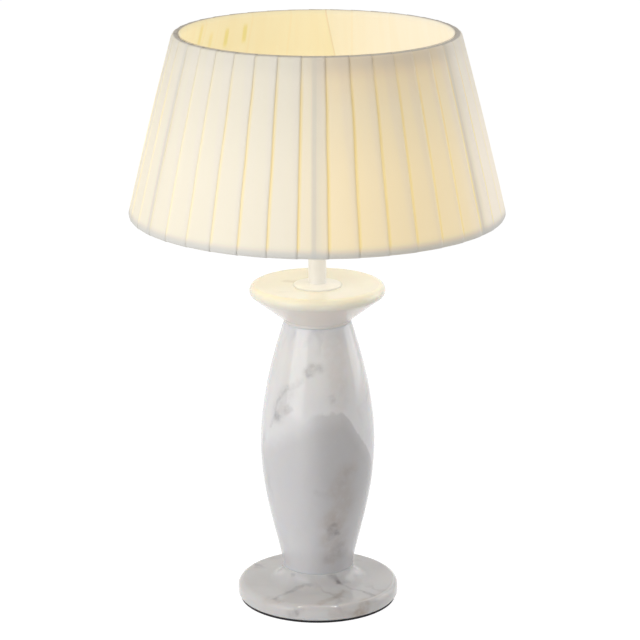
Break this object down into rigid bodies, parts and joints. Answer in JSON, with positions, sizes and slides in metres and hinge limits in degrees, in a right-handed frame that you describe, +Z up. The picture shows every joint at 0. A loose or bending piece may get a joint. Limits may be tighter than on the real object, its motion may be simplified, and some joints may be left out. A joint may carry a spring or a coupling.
{
  "type": "table lamp",
  "caption": "Turned marble table lamp: round foot, vase-shaped body and dish under a tapered drum shade of overlapping cream ribbons.",
  "frame": {"origin": "centre of the pad's underside, on the table", "axes": "+Z up along the stem; -Y is the front as pictured, +Y the cord's inlet, +X to the right seen from the front"},
  "size_m": [0.3492, 0.3492, 0.5484],
  "materials": {
    "foam_pad": "matt dark foam rubber",
    "marble": "polished white marble with grey-violet and brown veins",
    "black_plastic": "matt black",
    "zinc_steel": "zinc plated",
    "brass": "plain brass",
    "white_plastic": "moulded, satin",
    "ivory_lacquer": "warm white lacquer, satin",
    "porcelain": "unglazed electrical porcelain",
    "white_lacquer": "white lacquered wire",
    "cotton_tape": "woven cotton tape",
    "lining_cloth": "fine white lining cloth",
    "ribbon_cloth": "cream pongee ribbon",
    "nickel": "nickel plated shell",
    "black_glass": "black glass insulator",
    "bulb_white": "white bulb housing",
    "board_white": "white circuit board with yellow chips",
    "opal": "opal diffuser, lit warm white"
  },
  "bodies": {
    "base": {"base_pad": "foam_pad", "marble_foot": "marble", "cord_bush": "black_plastic", "base_washer": "zinc_steel", "lock_washer": "zinc_steel", "base_nut": "brass", "tie_rod": "zinc_steel", "centring_bushes": "white_plastic", "marble_body": "marble", "marble_dish": "marble", "top_washer": "zinc_steel", "top_nut": "brass", "stem_flange": "ivory_lacquer", "stem_tube": "ivory_lacquer", "holder_cap": "white_plastic", "holder_lock_screw": "zinc_steel", "holder_barrel": "white_plastic", "holder_insert": "porcelain", "screw_shell": "brass", "centre_contact": "brass", "terminal_screws": "brass"},
    "shade": {"fitter_ring": "white_lacquer", "fitter_arms": "white_lacquer", "bottom_ring": "white_lacquer", "top_ring": "white_lacquer", "frame_struts": "white_lacquer", "bottom_tape": "cotton_tape", "top_tape": "cotton_tape", "shade_lining": "lining_cloth", "shade_ribbons": "ribbon_cloth"},
    "ring_lift": {"ring_washer": "white_plastic"},
    "shade_ring": {"shade_ring": "white_plastic"},
    "bulb_lift": {"bulb_tip": "zinc_steel"},
    "bulb": {"bulb_insulator": "black_glass", "bulb_cap": "nickel", "bulb_housing": "bulb_white", "led_board": "board_white", "bulb_dome": "opal"}
  },
  "joints": [
    {"name": "shade_turn", "type": "hinge", "parent": "base", "child": "shade", "pos_m": [0, 0, 0.4], "axis": [0, 0, 1], "continuous": true},
    {"name": "ring_rise", "type": "slide", "parent": "base", "child": "ring_lift", "axis": [0, 0, 1], "range_m": [0, 0.00501]},
    {"name": "ring_turn", "type": "hinge", "parent": "ring_lift", "child": "shade_ring", "pos_m": [0, 0, 0.405], "axis": [0, 0, 1], "range_deg": [0, 720]},
    {"name": "bulb_rise", "type": "slide", "parent": "base", "child": "bulb_lift", "axis": [0, 0, 1], "range_m": [0, 0.0109]},
    {"name": "bulb_turn", "type": "hinge", "parent": "bulb_lift", "child": "bulb", "pos_m": [0, 0, 0.405], "axis": [0, 0, 1], "range_deg": [0, 1080]}
  ],
  "couplings": [
    {"joint": "ring_rise", "follows": "ring_turn", "m_per_rad": 0.00039789},
    {"joint": "bulb_rise", "follows": "bulb_turn", "m_per_rad": 0.00057757}
  ]
}
